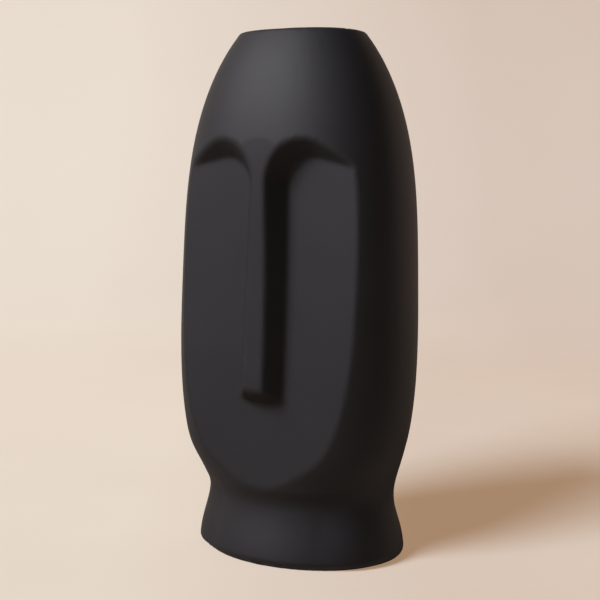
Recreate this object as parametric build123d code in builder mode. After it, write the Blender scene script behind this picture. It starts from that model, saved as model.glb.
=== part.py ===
from build123d import *
import os
from math import atan, cos, pi, radians, sin, tan

# A slip-cast ceramic vase with a mask scooped out of its front. The origin is the middle of the foot
# on the table, +Z is up, and the face looks along -Y.

# Casting
casting_height = 299.0
head_width = 144.0
wall = 5.0

# Outline from foot to lip: height as a share of the casting's height, and width as a share of the
# head's width
outline_shares = [
    (0.000, 0.881),
    (0.040, 0.863),
    (0.120, 0.803),
    (0.200, 0.901),
    (0.283, 0.972),
    (0.400, 1.000),
    (0.550, 0.989),
    (0.700, 0.956),
    (0.817, 0.878),
    (0.917, 0.734),
    (1.000, 0.519),
]

# Horizontal sections: depth as a share of the width, how square the oval is, and how far the head
# stands in front of the foot
foot_depth_share = 0.822
head_depth_share = 0.691
foot_squareness = 2.0
head_squareness = 2.3
head_forward = 8.0
neck_start_height = 34.0
neck_end_height = 66.0
section_count = 41
section_points = 24

# Face, as three places on its side view: below the chin, at the cheek and behind the forehead
face_foot_height = 30.0
face_foot_front = 49.7
cheek_height = 136.5
cheek_front = 42.9
face_top_height = 256.0
face_top_front = 39.7

# Nose's ridge on the side view, which leans back at both ends and runs into the forehead
nose_foot_front = 57.0
nose_foot_lean = 3.8
nose_bridge_height = 190.0
nose_bridge_front = 53.4
forehead_height = 262.0
forehead_front = 50.3
forehead_lean = 9.0

# Eye pockets that leave the nose and the brow standing
nose_end_height = 92.0
nose_end_width = 28.4
nose_root_width = 25.0
nose_draft = 33.0
brow_corner_height = 231.8
brow_bend_radius = 14.2
brow_fall = 12.5
brow_draft = 45.0
pocket_depth = 22.0

# Foot, lining and felt
base_thickness = 6.0
foot_ring = 13.0
recess_depth = 3.0
glaze_thickness = 0.8
glaze_below_lip = 8.0
felt_thickness = 1.0
felt_margin = 6.0

# Roundings
lip_rounding = 1.8
foot_rounding = 4.0
edge_rounding = 3.0
crease_rounding = 2.0

# Room for a cut to run past what it cuts
overrun = 2.0

lip_height = felt_thickness + casting_height
lean = atan((face_foot_front - face_top_front) / (face_top_height - face_foot_height))
face_plane = Plane(
    origin=(0, -cheek_front, cheek_height),
    x_dir=(1, 0, 0),
    z_dir=(0, -cos(lean), sin(lean)),
)


def oval(plane, half_width, depth_share, squareness, inset):
    """One horizontal section of the casting, drawn in by the inset. It starts at the back."""
    power = 2 / squareness
    points = []
    for step in range(section_points):
        angle = 2 * pi * step / section_points
        across = abs(sin(angle)) ** power * (-1 if sin(angle) >= 0 else 1)
        along = abs(cos(angle)) ** power * (1 if cos(angle) >= 0 else -1)
        points.append(((half_width - inset) * across, (half_width * depth_share - inset) * along))
    with BuildSketch(plane) as section:
        with BuildLine():
            Spline(*points, periodic=True)
        make_face()
    return section.sketch


def egg(inset):
    """The casting's closed form before the face is cut, drawn in by the inset."""
    points = [(head_width * width / 2, casting_height * height) for height, width in outline_shares]
    outline = Spline(*points)
    sections = []
    for station in range(section_count):
        half_width, height, _ = outline @ (station / (section_count - 1))
        rise = (height - neck_start_height) / (neck_end_height - neck_start_height)
        rise = min(max(rise, 0), 1)
        head_share = rise * rise * (3 - 2 * rise)
        plane = Plane((0, -head_forward * head_share, felt_thickness + height))
        depth_share = foot_depth_share + (head_depth_share - foot_depth_share) * head_share
        squareness = foot_squareness + (head_squareness - foot_squareness) * head_share
        sections.append(oval(plane, half_width, depth_share, squareness, inset))
    with BuildPart() as form:
        loft(sections)
    return form.part


def in_front_of_face(skin):
    """All that lies in front of the face's arc, after the arc is moved back by the skin."""
    with BuildPart() as front:
        with BuildSketch(Plane.YZ):
            with BuildLine():
                arc = ThreePointArc(
                    (skin - face_foot_front, face_foot_height),
                    (skin - cheek_front, cheek_height),
                    (skin - face_top_front, face_top_height),
                )
                Polyline(
                    arc @ 1,
                    (-head_width, face_top_height),
                    (-head_width, face_foot_height),
                    arc @ 0,
                )
            make_face()
        extrude(amount=head_width, both=True)
    return front.part


def leaning(angle):
    """The direction up and back at the angle from upright, on the side view."""
    return (sin(radians(angle)), cos(radians(angle)))


def in_front_of_nose(skin):
    """All that lies in front of the nose's ridge, after the ridge is moved back by the skin."""
    with BuildPart() as front:
        with BuildSketch(Plane.YZ):
            with BuildLine():
                ridge = Spline(
                    (skin - nose_foot_front, nose_end_height),
                    (skin - nose_bridge_front, nose_bridge_height),
                    (skin - forehead_front, forehead_height),
                    tangents=[leaning(nose_foot_lean), leaning(forehead_lean)],
                )
                Polyline(
                    ridge @ 1,
                    (-head_width, forehead_height),
                    (-head_width, nose_end_height),
                    ridge @ 0,
                )
            make_face()
        extrude(amount=head_width, both=True)
    return front.part


def pocket_outline(plane, nose_rise, brow_rise):
    """The right eye pocket's outline, wider by the rises beside the nose and under the brow."""
    end_x = nose_end_width / 2 - nose_rise
    end_z = nose_end_height - cheek_height + nose_rise
    root_x = nose_root_width / 2 - nose_rise
    root_z = brow_corner_height - cheek_height + brow_rise + nose_rise * tan(radians(brow_fall))
    outer_z = root_z - (head_width - root_x) * tan(radians(brow_fall))
    floor_z = face_foot_height - cheek_height
    middle_x = -nose_end_width - nose_rise
    with BuildSketch(plane) as outline:
        with BuildLine():
            Polyline(
                (end_x, end_z),
                (root_x, root_z),
                (head_width, outer_z),
                (head_width, floor_z),
                (middle_x, floor_z),
                (middle_x, end_z),
                close=True,
            )
        make_face()
        fillet(outline.vertices().sort_by(Axis.Y)[-1], brow_bend_radius + brow_rise)
    return outline.sketch


def right_pocket(skin):
    """The space of the right eye pocket, with a skin of even thickness added all round it."""
    sections = []
    for rise in (-skin - overrun, pocket_depth):
        nose_rise = rise * tan(radians(nose_draft)) + skin / cos(radians(nose_draft))
        brow_rise = rise * tan(radians(brow_draft)) + skin / cos(radians(brow_draft))
        sections.append(pocket_outline(face_plane.offset(rise), nose_rise, brow_rise))
    with BuildPart() as space:
        loft(sections, ruled=True)
    return space.part


def mask_space(skin, rounding):
    """The space scooped out of the front to leave the mask, with an even skin added all round it."""
    with BuildPart() as pocket:
        add(right_pocket(skin))
        add(in_front_of_face(skin), mode=Mode.INTERSECT)
        if rounding > 0:
            fillet(pocket.faces().sort_by(Axis.Y)[-1].edges(), rounding)
    with BuildPart() as space:
        add(pocket.part)
        mirror(about=Plane.YZ)
    return space.part


def masked_form(closed_form, skin, rounding):
    """The closed form with the mask cut into it, where the mask is drawn in by the skin."""
    with BuildPart() as form:
        add(closed_form)
        add(mask_space(skin, rounding), mode=Mode.SUBTRACT)
        add(in_front_of_nose(skin), mode=Mode.SUBTRACT)
    return form.part


def hollow(skin, floor_height):
    """The space inside the vase above its floor, within a wall as thick as the skin."""
    with BuildPart() as space:
        add(masked_form(egg(skin), skin, 0))
        split(bisect_by=Plane.XY.offset(floor_height), keep=Keep.TOP)
    return space.part


floor_height = felt_thickness + recess_depth + base_thickness
glaze_top_height = lip_height - glaze_below_lip
foot_half_width = head_width * outline_shares[0][1] / 2
inner_form = hollow(wall, floor_height)

# The casting's outside, closed and rounded at the foot and the lip
with BuildPart() as outer_egg:
    add(egg(0))
    fillet(outer_egg.edges().sort_by(Axis.Z)[0], foot_rounding)
    fillet(outer_egg.edges().sort_by(Axis.Z)[-1], lip_rounding)

# The casting: an egg on a narrow neck and a spread foot, one wall all round with the mask in it
with BuildPart() as vase_body:
    add(masked_form(outer_egg.part, 0, crease_rounding))
    *others, side = vase_body.faces().sort_by(SortBy.AREA)
    ridge = min(others, key=lambda face: face.center().Y)
    ridge_edges = [edge for edge in ridge.edges() if edge not in side.edges()]
    outer_edges = [edge for edge in side.edges() if edge not in ridge.edges()]
    mask_edges = [edge for edge in outer_edges if face_foot_height < edge.center().Z < face_top_height]
    mask_edges = [edge for edge in mask_edges if edge.center().Y < 0]
    fillet(ridge_edges + mask_edges, edge_rounding)
    add(inner_form, mode=Mode.SUBTRACT)
    with BuildSketch(Plane.XY.offset(felt_thickness - overrun)):
        add(oval(Plane.XY, foot_half_width, foot_depth_share, foot_squareness, foot_ring))
    extrude(amount=recess_depth + overrun, mode=Mode.SUBTRACT)
    lip_edges = vase_body.edges().filter_by_position(Axis.Z, lip_height, lip_height)
    fillet(lip_edges.sort_by(SortBy.LENGTH)[0], lip_rounding)

# The glaze that seals the inside, from the floor to just below the lip
with BuildPart() as inner_glaze:
    add(inner_form)
    split(bisect_by=Plane.XY.offset(glaze_top_height), keep=Keep.BOTTOM)
    add(hollow(wall + glaze_thickness, floor_height + glaze_thickness), mode=Mode.SUBTRACT)

# A sheet of felt on the foot's ring
with BuildPart() as base_felt:
    with BuildSketch():
        add(oval(Plane.XY, foot_half_width, foot_depth_share, foot_squareness, felt_margin))
    extrude(amount=felt_thickness)

vase_body.part.label = "vase_body"
inner_glaze.part.label = "inner_glaze"
base_felt.part.label = "base_felt"

os.makedirs("parts", exist_ok=True)
export_step(vase_body.part, "parts/vase_body.step")
export_step(inner_glaze.part, "parts/inner_glaze.step")
export_step(base_felt.part, "parts/base_felt.step")
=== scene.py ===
import bpy
from math import cos, radians, sin
from mathutils import Matrix, Vector


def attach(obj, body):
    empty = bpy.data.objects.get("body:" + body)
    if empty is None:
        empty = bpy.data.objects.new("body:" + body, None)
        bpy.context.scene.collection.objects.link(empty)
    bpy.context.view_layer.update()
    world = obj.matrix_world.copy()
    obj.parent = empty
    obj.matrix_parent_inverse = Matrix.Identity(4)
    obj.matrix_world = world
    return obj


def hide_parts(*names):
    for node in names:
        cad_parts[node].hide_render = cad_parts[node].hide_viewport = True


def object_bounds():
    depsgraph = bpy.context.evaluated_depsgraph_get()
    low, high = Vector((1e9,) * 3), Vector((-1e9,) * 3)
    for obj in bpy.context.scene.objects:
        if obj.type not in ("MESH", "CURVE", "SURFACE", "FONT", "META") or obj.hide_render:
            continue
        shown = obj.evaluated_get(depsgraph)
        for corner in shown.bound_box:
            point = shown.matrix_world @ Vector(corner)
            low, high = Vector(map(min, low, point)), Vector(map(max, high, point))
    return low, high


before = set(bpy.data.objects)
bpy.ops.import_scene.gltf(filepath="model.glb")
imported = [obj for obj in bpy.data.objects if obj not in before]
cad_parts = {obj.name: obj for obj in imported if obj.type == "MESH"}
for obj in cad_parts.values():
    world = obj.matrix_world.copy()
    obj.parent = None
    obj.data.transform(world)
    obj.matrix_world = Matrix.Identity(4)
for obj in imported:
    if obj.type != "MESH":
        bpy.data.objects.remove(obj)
cad_low, cad_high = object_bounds()

# Lengths are in metres and angles in degrees.
# Camera: azimuth 0 is straight in front of the face, and the head stands in front of the foot
CAMERA_AZIMUTH = 30.818
CAMERA_DISTANCE = 0.700
CAMERA_HEIGHT = 0.21286
CAMERA_PITCH = 5.329
CAMERA_ROLL = 1.002
CAMERA_YAW = -0.103
CAMERA_LENS = 72.56
CAMERA_SENSOR = 36.0
CAMERA_NEAR = 0.01
HEAD_FORWARD = 0.008

# Slip-cast surface: the mesh's face size, how far and how often it is smoothed, and the share of faces kept
FACE_SIZE = 0.0015
SMOOTH_STEP = 0.5
SOFTENING = 3
FACES_KEPT = 0.56

# Lip, where the smoothing fades out
LIP_START = 0.280
LIP_END = 0.292

# Undercut below the chin: its top, the drop to its full depth, its width, and the height at which it
# would end, which lies below the foot
CHIN_HEIGHT = 0.0455
CHIN_DROP = 0.0130
CHIN_UNDERCUT = 0.0038
CHIN_FLAT = 0.034
CHIN_WIDTH = 0.058
CHIN_BACK = -0.008
CHIN_FADE = -0.025

# Back of the waist, where the step between head and foot is eased
WAIST_HEIGHT = 0.039
WAIST_START = 0.010
WAIST_END = 0.064
WAIST_EASE = 0.0036
BACK_START = 0.1
BACK_FULL = 0.9

# A surface point counts as outside when its normal faces outward by this much
OUTSIDE = 0.2

# Foot of the nose, round when seen from the front
NOSE_FOOT = 0.092
NOSE_HALF_WIDTH = 0.0142
NOSE_CORNER_RISE = 0.0026
NOSE_SAG = 0.0007
NOSE_FLAT = 0.004
NOSE_BLEND = 0.012
NOSE_SIDE_BLEND = 0.006

# Stage: a floor that sweeps up into a backdrop
STAGE_REACH = 3.0
STAGE_BACK = 1.6
STAGE_HEIGHT = 2.6
SWEEP_RADIUS = 0.8
SWEEP_STEPS = 16

# Paper: how much of its tone is its own pale glow, from near the vase to the backdrop, and the colour of that
# glow from left to right
PALE_NEAR = 0.45
PALE_FAR = 0.80
PALE_START = 0.25
PALE_END = 1.10
# Painted light in the glow's colour, over this reach to either side: darker to the right as painted falloff
# of the light, and warm near the vase as the painted warm tone of the shadow there
PAINTED_FALLOFF_REACH = 0.32
NEAR_GLOW_PAINTED_FALLOFF_AND_SHADE = [(0.33, (1.0, 0.75, 0.54)), (0.62, (0.78, 0.48, 0.285))]
FAR_GLOW_PAINTED_FALLOFF = [(0.0, (0.815, 0.695, 0.58)), (1.0, (0.64, 0.485, 0.39))]

# Share of the paper's colour that it throws back onto the vase
BOUNCE = (0.65, 0.50, 0.41)

# Middle range of a noise, outside which it seldom goes
NOISE_LOW = 0.3
NOISE_HIGH = 0.7


def new_material(name):
    """A new material with a Principled shader: the material, its node tree and the shader."""
    material = bpy.data.materials.new(name)
    material.use_nodes = True
    tree = material.node_tree
    tree.nodes.clear()
    output = tree.nodes.new("ShaderNodeOutputMaterial")
    shader = tree.nodes.new("ShaderNodeBsdfPrincipled")
    tree.links.new(shader.outputs["BSDF"], output.inputs["Surface"])
    return material, tree, shader


def add_node(tree, kind, values=(), links=()):
    """A node of the kind, with its sockets set to values or linked from other sockets."""
    node = tree.nodes.new(kind)
    for socket, value in values:
        node.inputs[socket].default_value = value
    for socket, source in links:
        tree.links.new(source, node.inputs[socket])
    return node


def object_place(tree):
    """The place on the object, in its own coordinates."""
    return tree.nodes.new("ShaderNodeTexCoord").outputs["Object"]


def noise(tree, place, scale, detail, roughness=0.5):
    """Cloudy noise of the scale, in features per metre."""
    node = add_node(
        tree,
        "ShaderNodeTexNoise",
        [("Scale", scale), ("Detail", detail), ("Roughness", roughness)],
        [("Vector", place)],
    )
    return node.outputs["Fac"]


def ramp(tree, source, stops):
    """A colour ramp of (position, colour) stops."""
    node = add_node(tree, "ShaderNodeValToRGB", links=[("Fac", source)])
    for element, (position, color) in zip(node.color_ramp.elements, stops, strict=True):
        element.position = position
        element.color = (*color, 1.0)
    return node.outputs["Color"]


def mapped(tree, source, start, end, low=0.0, high=1.0):
    """The source's range from start to end, stretched to run from low to high."""
    node = add_node(
        tree,
        "ShaderNodeMapRange",
        [("From Min", start), ("From Max", end), ("To Min", low), ("To Max", high)],
        [("Value", source)],
    )
    return node.outputs["Result"]


def bump(tree, height, strength, distance, links=()):
    """The normal of a surface that carries the height."""
    values = [("Strength", strength), ("Distance", distance)]
    return add_node(tree, "ShaderNodeBump", values, [("Height", height), *links]).outputs["Normal"]


def arithmetic(tree, operation, first, second):
    """The result of one operation on two sockets."""
    node = add_node(tree, "ShaderNodeMath", links=[(0, first), (1, second)])
    node.operation = operation
    return node.outputs["Value"]


def matt_ceramic():
    """Matt black glaze on slip-cast clay: cloudy tone, fine grain and a faint swell."""
    material, tree, shader = new_material("matt_ceramic")
    place = object_place(tree)
    clouds = noise(tree, place, scale=14.0, detail=4.0)
    grain = noise(tree, place, scale=2600.0, detail=3.0, roughness=0.6)
    swell = noise(tree, place, scale=55.0, detail=3.0)
    color = ramp(tree, clouds, [(0.35, (0.0128, 0.0120, 0.0142)), (0.65, (0.0164, 0.0153, 0.0180))])
    tree.links.new(color, shader.inputs["Base Color"])
    tree.links.new(mapped(tree, grain, NOISE_LOW, NOISE_HIGH, 0.56, 0.66), shader.inputs["Roughness"])
    fine = bump(tree, grain, strength=0.12, distance=0.00015)
    broad = bump(tree, swell, strength=0.10, distance=0.0008, links=[("Normal", fine)])
    tree.links.new(broad, shader.inputs["Normal"])
    shader.inputs["Specular IOR Level"].default_value = 0.30
    return material


def inside_glaze():
    """Glossy black glaze that seals the inside."""
    material, tree, shader = new_material("inside_glaze")
    runs = noise(tree, object_place(tree), scale=35.0, detail=4.0)
    color = ramp(tree, runs, [(0.35, (0.020, 0.020, 0.022)), (0.65, (0.030, 0.029, 0.031))])
    tree.links.new(color, shader.inputs["Base Color"])
    tree.links.new(mapped(tree, runs, NOISE_LOW, NOISE_HIGH, 0.16, 0.30), shader.inputs["Roughness"])
    tree.links.new(bump(tree, runs, strength=0.25, distance=0.0006), shader.inputs["Normal"])
    return material


def felt():
    """Dark pressed felt."""
    material, tree, shader = new_material("felt")
    fibres = noise(tree, object_place(tree), scale=3200.0, detail=6.0, roughness=0.75)
    color = ramp(tree, fibres, [(0.35, (0.040, 0.040, 0.043)), (0.65, (0.10, 0.10, 0.105))])
    tree.links.new(color, shader.inputs["Base Color"])
    tree.links.new(bump(tree, fibres, strength=0.8, distance=0.0003), shader.inputs["Normal"])
    shader.inputs["Roughness"].default_value = 0.95
    shader.inputs["Sheen Weight"].default_value = 0.4
    return material


def paper():
    """Pale peach paper. The camera sees part of its tone as its own pale glow, and the rest as light on it.
    That glow's colour holds painted light: darker to the right as painted falloff, and warm near the vase as
    the painted tone of the shadow.
    """
    material, tree, shader = new_material("floor_paper")
    place = object_place(tree)
    parts = add_node(tree, "ShaderNodeSeparateXYZ", links=[("Vector", place)]).outputs
    rays = tree.nodes.new("ShaderNodeLightPath").outputs

    mottle = noise(tree, place, scale=9.0, detail=3.0)
    color = ramp(tree, mottle, [(0.3, (0.50, 0.42, 0.355)), (0.7, (0.52, 0.44, 0.375))])
    bounce = ramp(tree, rays["Is Camera Ray"], [(0.0, BOUNCE), (1.0, (1.0, 1.0, 1.0))])
    dimmed = add_node(tree, "ShaderNodeVectorMath", links=[(0, color), (1, bounce)])
    dimmed.operation = "MULTIPLY"
    tree.links.new(dimmed.outputs["Vector"], shader.inputs["Base Color"])
    shader.inputs["Roughness"].default_value = 0.9
    shader.inputs["Specular IOR Level"].default_value = 0.1

    # Painted light: the glow darkens to the right as painted falloff of the light, and is warm near the vase
    # as the painted tone of the shadow
    across = mapped(tree, parts["X"], -PAINTED_FALLOFF_REACH, PAINTED_FALLOFF_REACH)
    depth = mapped(tree, parts["Y"], PALE_START, PALE_END)
    painted_light_color = tree.nodes.new("ShaderNodeMix")
    painted_light_color.data_type = "RGBA"
    tree.links.new(depth, painted_light_color.inputs["Factor"])
    tree.links.new(ramp(tree, across, NEAR_GLOW_PAINTED_FALLOFF_AND_SHADE), painted_light_color.inputs["A"])
    tree.links.new(ramp(tree, across, FAR_GLOW_PAINTED_FALLOFF), painted_light_color.inputs["B"])
    links = [("Color", painted_light_color.outputs["Result"])]
    glow_with_painted_light = add_node(tree, "ShaderNodeEmission", [("Strength", 1.0)], links)

    own = mapped(tree, depth, 0.0, 1.0, PALE_NEAR, PALE_FAR)
    seen = arithmetic(tree, "MULTIPLY", rays["Is Camera Ray"], own)
    mirrored = arithmetic(tree, "MULTIPLY", rays["Is Glossy Ray"], depth)
    share = arithmetic(tree, "MAXIMUM", seen, mirrored)
    links = [("Fac", share), (1, shader.outputs["BSDF"]), (2, glow_with_painted_light.outputs["Emission"])]
    blend = add_node(tree, "ShaderNodeMixShader", links=links)
    output = next(node for node in tree.nodes if node.type == "OUTPUT_MATERIAL")
    tree.links.new(blend.outputs["Shader"], output.inputs["Surface"])
    return material


def dress(piece, material):
    """Gives a piece its material."""
    piece.data.materials.clear()
    piece.data.materials.append(material)


def smoothstep(value, start, end):
    """0 before start, 1 after end, and a smooth rise between them."""
    share = min(max((value - start) / (end - start), 0), 1)
    return share * share * (3 - 2 * share)


def settle(piece, name, kind, **settings):
    """Changes the piece's mesh by one modifier of the kind."""
    modifier = piece.modifiers.new(name, kind)
    for setting, value in settings.items():
        setattr(modifier, setting, value)
    graph = bpy.context.evaluated_depsgraph_get()
    mesh = bpy.data.meshes.new_from_object(piece.evaluated_get(graph))
    piece.modifiers.clear()
    piece.data = mesh


def set_back(point, normal):
    """How far the outside stands back, under the chin and at the back of the waist."""
    outward = Vector((point.x, point.y + HEAD_FORWARD, 0)).normalized()
    if normal.dot(outward) < OUTSIDE:
        return 0
    if point.y > CHIN_BACK:
        rising = smoothstep(point.z, WAIST_START, WAIST_HEIGHT)
        falling = 1 - smoothstep(point.z, WAIST_HEIGHT, WAIST_END)
        return WAIST_EASE * rising * falling * smoothstep(outward.y, BACK_START, BACK_FULL)
    below_chin = smoothstep(CHIN_HEIGHT - point.z, 0, CHIN_DROP)
    down_foot = smoothstep(point.z, CHIN_FADE, CHIN_HEIGHT - CHIN_DROP)
    inside = 1 - smoothstep(abs(point.x), CHIN_FLAT, CHIN_WIDTH)
    return CHIN_UNDERCUT * below_chin * down_foot * inside


def nose_rise(point):
    """How far the nose's foot moves up, so that it is round from the front."""
    if point.y >= 0:
        return 0
    across = min(abs(point.x) / NOSE_HALF_WIDTH, 1)
    near_foot = 1 - smoothstep(abs(point.z - NOSE_FOOT), NOSE_FLAT, NOSE_BLEND)
    near_nose = 1 - smoothstep(abs(point.x), NOSE_HALF_WIDTH, NOSE_HALF_WIDTH + NOSE_SIDE_BLEND)
    return (NOSE_CORNER_RISE * across**2 - NOSE_SAG) * near_foot * near_nose


def carved(vertex):
    """Where a vertex of the casting goes when the chin, the waist and the nose's foot are carved."""
    point, normal = vertex.co, vertex.normal
    return point + Vector((0, 0, nose_rise(point))) - set_back(point, normal) * normal


def soft_casting(material):
    """The casting with a slip-cast surface: soft creases, and the chin, waist and nose's foot carved."""
    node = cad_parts["vase_body"]
    piece = bpy.data.objects.new("casting", node.data.copy())
    piece.matrix_world = node.matrix_world
    bpy.context.scene.collection.objects.link(piece)
    settle(piece, "even_faces", "REMESH", mode="VOXEL", voxel_size=FACE_SIZE)
    settle(piece, "true_shape", "SHRINKWRAP", target=node, wrap_method="NEAREST_SURFACEPOINT")
    places = [carved(vertex) for vertex in piece.data.vertices]
    soft = piece.vertex_groups.new(name="soft")
    for vertex, place in zip(piece.data.vertices, places):
        vertex.co = place
        soft.add([vertex.index], 1 - smoothstep(place.z, LIP_START, LIP_END), "REPLACE")
    settle(piece, "soft_creases", "SMOOTH", factor=SMOOTH_STEP, iterations=SOFTENING, vertex_group="soft")
    settle(piece, "fewer_faces", "DECIMATE", ratio=FACES_KEPT)
    for polygon in piece.data.polygons:
        polygon.use_smooth = True
    dress(piece, material)
    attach(piece, "root")
    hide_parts("vase_body")
    return piece


def make_stage():
    """The floor and backdrop of paper, facing the camera."""
    profile = [(-STAGE_REACH, 0.0)]
    for step in range(SWEEP_STEPS + 1):
        turn = radians(90 * step / SWEEP_STEPS)
        distance = STAGE_BACK - SWEEP_RADIUS + SWEEP_RADIUS * sin(turn)
        profile.append((distance, SWEEP_RADIUS - SWEEP_RADIUS * cos(turn)))
    profile.append((STAGE_BACK, STAGE_HEIGHT))
    vertices = [(end, distance, rise) for distance, rise in profile for end in (-STAGE_REACH, STAGE_REACH)]
    faces = [(2 * i, 2 * i + 1, 2 * i + 3, 2 * i + 2) for i in range(len(profile) - 1)]
    mesh = bpy.data.meshes.new("floor")
    mesh.from_pydata(vertices, [], faces)
    for polygon in mesh.polygons:
        polygon.use_smooth = True
    floor = bpy.data.objects.new("floor", mesh)
    floor.rotation_euler.z = radians(CAMERA_AZIMUTH)
    bpy.context.scene.collection.objects.link(floor)
    dress(floor, paper())
    return floor


def softbox(name, size, power):
    """The light of a square softbox."""
    light = bpy.data.lights.new(name, "AREA")
    light.shape = "SQUARE"
    light.size = size
    light.energy = power
    return light


def soft_sun(name, softness, power):
    """Even light whose shadows are as soft as the angle is wide."""
    light = bpy.data.lights.new(name, "SUN")
    light.angle = radians(softness)
    light.energy = power
    return light


def add_lamp(light, azimuth, elevation, distance, color, receivers):
    """A lamp that faces the middle of the vase and lights the receivers alone."""
    middle = Vector((0, 0, (cad_low[2] + cad_high[2]) / 2))
    turn, tilt = radians(azimuth), radians(elevation)
    place = middle + distance * Vector((sin(turn) * cos(tilt), -cos(turn) * cos(tilt), sin(tilt)))
    light.color = color
    lamp = bpy.data.objects.new(light.name, light)
    lamp.location = place
    lamp.rotation_euler = (middle - place).to_track_quat("-Z", "Y").to_euler()
    bpy.context.scene.collection.objects.link(lamp)
    lit = bpy.data.collections.new(f"lit_by_{light.name}")
    for receiver in receivers:
        lit.objects.link(receiver)
    lamp.light_linking.receiver_collection = lit


def make_light(vase, floor):
    """A soft key from the left and a faint warm rim for the vase, and a soft sun for the paper."""
    key = softbox("key", size=0.7, power=33.5)
    rim = softbox("rim", size=0.8, power=1.5)
    sun = soft_sun("paper_light", softness=26, power=8.9)
    add_lamp(key, azimuth=-35, elevation=37, distance=1.6, color=(0.985, 0.97, 1.0), receivers=vase)
    add_lamp(rim, azimuth=138, elevation=14, distance=1.3, color=(1.0, 0.78, 0.66), receivers=vase)
    add_lamp(sun, azimuth=-17, elevation=34, distance=3.0, color=(0.68, 0.844, 1.0), receivers=[floor])


def make_surround():
    """A dim even surround that the camera sees as pale as the paper."""
    world = bpy.data.worlds.new("surround")
    world.use_nodes = True
    tree = world.node_tree
    tree.nodes.clear()
    dim = add_node(tree, "ShaderNodeBackground", [("Color", (0.95, 0.93, 0.92, 1.0)), ("Strength", 0.06)])
    pale = add_node(tree, "ShaderNodeBackground", [("Color", (0.80, 0.68, 0.57, 1.0)), ("Strength", 1.0)])
    seen = tree.nodes.new("ShaderNodeLightPath").outputs["Is Camera Ray"]
    links = [("Fac", seen), (1, dim.outputs["Background"]), (2, pale.outputs["Background"])]
    blend = add_node(tree, "ShaderNodeMixShader", links=links)
    add_node(tree, "ShaderNodeOutputWorld", links=[("Surface", blend.outputs["Shader"])])
    bpy.context.scene.world = world
    bpy.context.scene.view_settings.view_transform = "Standard"


def make_camera():
    """The camera at the photograph's place, height and tilt."""
    azimuth, yaw = radians(CAMERA_AZIMUTH), radians(CAMERA_YAW)
    pitch, roll = radians(CAMERA_PITCH), radians(CAMERA_ROLL)
    place = Vector((
        CAMERA_DISTANCE * sin(azimuth),
        -CAMERA_DISTANCE * cos(azimuth) - HEAD_FORWARD,
        CAMERA_HEIGHT,
    ))
    heading = azimuth + yaw
    ahead = Vector((-sin(heading) * cos(pitch), cos(heading) * cos(pitch), -sin(pitch)))
    level = Vector((cos(heading), sin(heading), 0))
    upright = level.cross(ahead)
    right = level * cos(roll) + upright * sin(roll)
    up = upright * cos(roll) - level * sin(roll)
    camera_data = bpy.data.cameras.new("camera")
    camera_data.lens = CAMERA_LENS
    camera_data.sensor_width = CAMERA_SENSOR
    camera_data.clip_start = CAMERA_NEAR
    camera = bpy.data.objects.new("camera", camera_data)
    camera.matrix_world = Matrix((
        (right.x, up.x, -ahead.x, place.x),
        (right.y, up.y, -ahead.y, place.y),
        (right.z, up.z, -ahead.z, place.z),
        (0, 0, 0, 1),
    ))
    bpy.context.scene.collection.objects.link(camera)
    bpy.context.scene.camera = camera


glaze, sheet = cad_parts["inner_glaze"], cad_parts["base_felt"]
dress(glaze, inside_glaze())
dress(sheet, felt())
casting = soft_casting(matt_ceramic())

floor = make_stage()
make_light([casting, glaze, sheet], floor)
make_surround()
make_camera()
